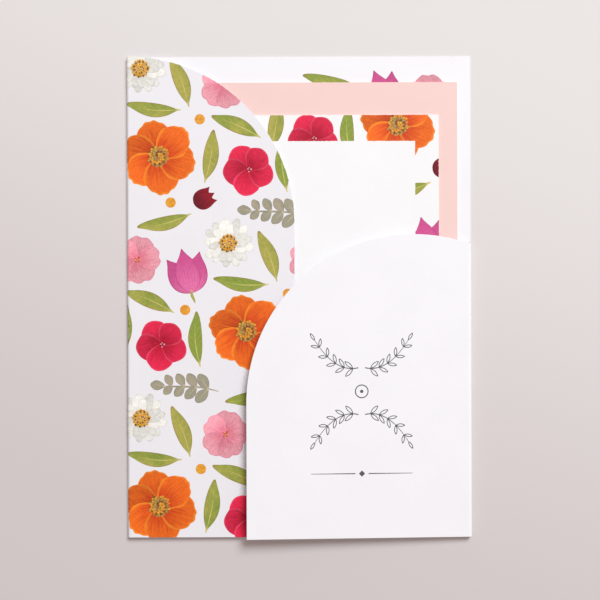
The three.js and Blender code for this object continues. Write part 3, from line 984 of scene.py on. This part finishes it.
# The framed card: the same flowers in a band round a white middle

cardFrame = {"side": 8.6 * mm, "top": 9.5 * mm, "start": (10.5 * mm, 4.5 * mm)}


def framePlanes(settings):
    left, right, bottom, top = framedLow.x, framedHigh.x, framedLow.y, framedHigh.y
    side, deep = settings["side"], settings["top"]
    return [
        boxPlanes(left, right, top - deep, top),
        boxPlanes(left, right, bottom, bottom + deep),
        boxPlanes(left, left + side, bottom + deep, top - deep),
        boxPlanes(right - side, right, bottom + deep, top - deep),
    ]


frameStart = (framedLow.x + cardFrame["start"][0], framedLow.y + cardFrame["start"][1])
framePlaces = repeatedPlaces(flowerRepeat, frameStart, framedLow, framedHigh)
for motif, copies in printArea(framePlaces, framePlanes(cardFrame), printSettings).items():
    piece = joinAll("card_frame_" + motif, copies)
    piece.data.transform(Matrix.Translation((0, 0, framedHigh.z + inkHeight)))
    finishInk(piece)
print("card frame printed")


# A few flowers on the inside of the back panel, which stand out above the pink card

panelPrint = {
    "places": [  # motif, x and y, degrees
        ("slim_leaf", 11.5 * mm, 79.6 * mm, 80),
        ("magenta_tulip", 31 * mm, 74.2 * mm, 21),
        ("pink_blossom", 48 * mm, 72.8 * mm, 0),
    ],
    "top": 83.4 * mm,
    "spot": (50 * mm, 84 * mm),  # where its height is taken
}

panelTop = heightAt("pocket_sheet", *panelPrint["spot"])
panelPlanes = boxPlanes(pocketLow.x, pocketHigh.x, pocketLow.y, panelPrint["top"])
panelPlaces = [(motif, Vector((x, y)), math.radians(turn)) for motif, x, y, turn in panelPrint["places"]]
for motif, copies in printArea(panelPlaces, [panelPlanes], printSettings).items():
    piece = joinAll("panel_" + motif, copies)
    piece.data.transform(Matrix.Translation((0, 0, panelTop + inkHeight)))
    finishInk(piece)

for motif in motifs.values():
    bpy.data.objects.remove(motif)
print("back panel printed")


# The right flap's line ornament: a garland over and one under a ring, and a rule below them

ornament = {
    "middle": 22.6 * mm,
    "line": 0.38 * mm,
    "garlands": ((-26 * mm, 1), (-43 * mm, -1)),  # height of its base, and which way it rises
    "garlandWidth": 38 * mm,
    "garlandGap": 1.2 * mm,  # from the middle to where each half starts
    "garlandRise": 10 * mm,
    "garlandDip": 0.2,  # its bend point lies this share of the rise past its base, the other way
    "leafPairs": 5,
    "leaf": (3.9 * mm, 1.45 * mm),
    "leafTurn": 0.75,
    "leafShrink": 0.95,  # from one pair to the next
    "leafGap": 0.4,  # from the stem, as a share of the line
    "leafLine": 0.75,  # as a share of the line
    "tipLeaf": 0.8,  # its size, as a share of the first pair's
    "ring": (-34.6 * mm, 2.5 * mm),  # height and radius
    "rule": (-64.5 * mm, 37 * mm),  # height and width
    "ruleHalf": (0.13, 0.5, 1),  # start, middle and end, as shares of half the width
}


def curvePoint(curve, along):
    start, bend, end = curve
    return start * (1 - along) ** 2 + bend * 2 * along * (1 - along) + end * along ** 2


def curveHeading(curve, along):
    start, bend, end = curve
    ahead = (bend - start) * (1 - along) + (end - bend) * along
    return math.atan2(-ahead.x, ahead.y)


def makeStroke(curve, width, steps=14, taper=0.5):
    bpy.ops.object.select_all(action="DESELECT")
    bpy.ops.mesh.primitive_grid_add(x_subdivisions=1, y_subdivisions=steps, size=1, location=(0, 0, 0))
    stroke = bpy.context.object
    stroke.data.materials.append(inks["line"])
    for vertex in stroke.data.vertices:
        along = vertex.co.y + 0.5
        heading = curveHeading(curve, along)
        aside = vertex.co.x * width * (1 - taper * along)
        place = curvePoint(curve, along)
        vertex.co = (place.x + aside * math.cos(heading), place.y + aside * math.sin(heading), 0)
    return stroke


def makeOutline(length, width, line, points=24, pointed=0.35):
    bpy.ops.object.select_all(action="DESELECT")
    bpy.ops.mesh.primitive_circle_add(vertices=points, radius=0.5, fill_type="NGON", location=(0, 0, 0))
    outline = bpy.context.object
    outline.data.materials.append(inks["line"])
    for vertex in outline.data.vertices:
        narrowing = 1 - pointed * (2 * vertex.co.y) ** 2
        vertex.co = (vertex.co.x * width * narrowing, vertex.co.y * length, 0)
    bpy.ops.object.mode_set(mode="EDIT")
    bpy.ops.mesh.select_all(action="SELECT")
    bpy.ops.mesh.inset(thickness=line)
    bpy.ops.mesh.delete(type="FACE")
    bpy.ops.object.mode_set(mode="OBJECT")
    return outline


def makeDisc(radius, points):
    bpy.ops.object.select_all(action="DESELECT")
    bpy.ops.mesh.primitive_circle_add(vertices=points, radius=radius, fill_type="TRIFAN", location=(0, 0, 0))
    disc = bpy.context.object
    disc.data.materials.append(inks["line"])
    return disc


def makeGarland(settings, base, way):
    reach = settings["garlandWidth"] / 2
    rise = settings["garlandRise"]
    line = settings["line"]
    length, width = settings["leaf"]
    pairs = settings["leafPairs"]
    parts = []

    def addLeaf(curve, along, lean, size, gap):
        place = curvePoint(curve, along)
        turn = curveHeading(curve, along) + lean
        leaf = makeOutline(length * size, width * size, line * settings["leafLine"])
        beyond = length * size / 2 + gap
        parts.append(turnAndMove(
            leaf, turn, place.x - beyond * math.sin(turn), place.y + beyond * math.cos(turn)))

    for hand in (-1, 1):
        curve = (
            Vector((hand * settings["garlandGap"], base)),
            Vector((hand * reach / 2, base - way * rise * settings["garlandDip"])),
            Vector((hand * (reach - length / 2), base + way * rise)),
        )
        parts.append(makeStroke(curve, line))
        for pair in range(pairs):
            along = (pair + 0.6) / (pairs + 0.2)
            size = settings["leafShrink"] ** pair
            for side in (-1, 1):
                addLeaf(curve, along, side * settings["leafTurn"], size, line * settings["leafGap"])
        addLeaf(curve, 1, 0, settings["tipLeaf"], 0)
    return parts


def makeOrnament(settings):
    line = settings["line"]
    parts = []
    for base, way in settings["garlands"]:
        parts += makeGarland(settings, base, way)
    height, radius = settings["ring"]
    ring = makeOutline(2 * radius, 2 * radius, line, points=40, pointed=0)
    parts.append(turnAndMove(ring, 0, 0, height))
    parts.append(turnAndMove(makeDisc(radius / 4, 12), 0, 0, height))
    height, width = settings["rule"]
    parts.append(turnAndMove(makeDisc(3 * line, 4), 0, 0, height))
    for hand in (-1, 1):
        ends = [Vector((hand * share * width / 2, height)) for share in settings["ruleHalf"]]
        parts.append(makeStroke(ends, line))
    return joinAll("flap_line_ornament", parts)


piece = makeOrnament(ornament)
piece.data.transform(Matrix.Translation((ornament["middle"], 0, 0)))
for vertex in piece.data.vertices:
    vertex.co.z = heightAt("pocket_sheet", vertex.co.x, vertex.co.y) + inkHeight
finishInk(piece)
print("right flap printed")


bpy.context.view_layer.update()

scene = bpy.context.scene
scene.view_settings.view_transform = "Standard"
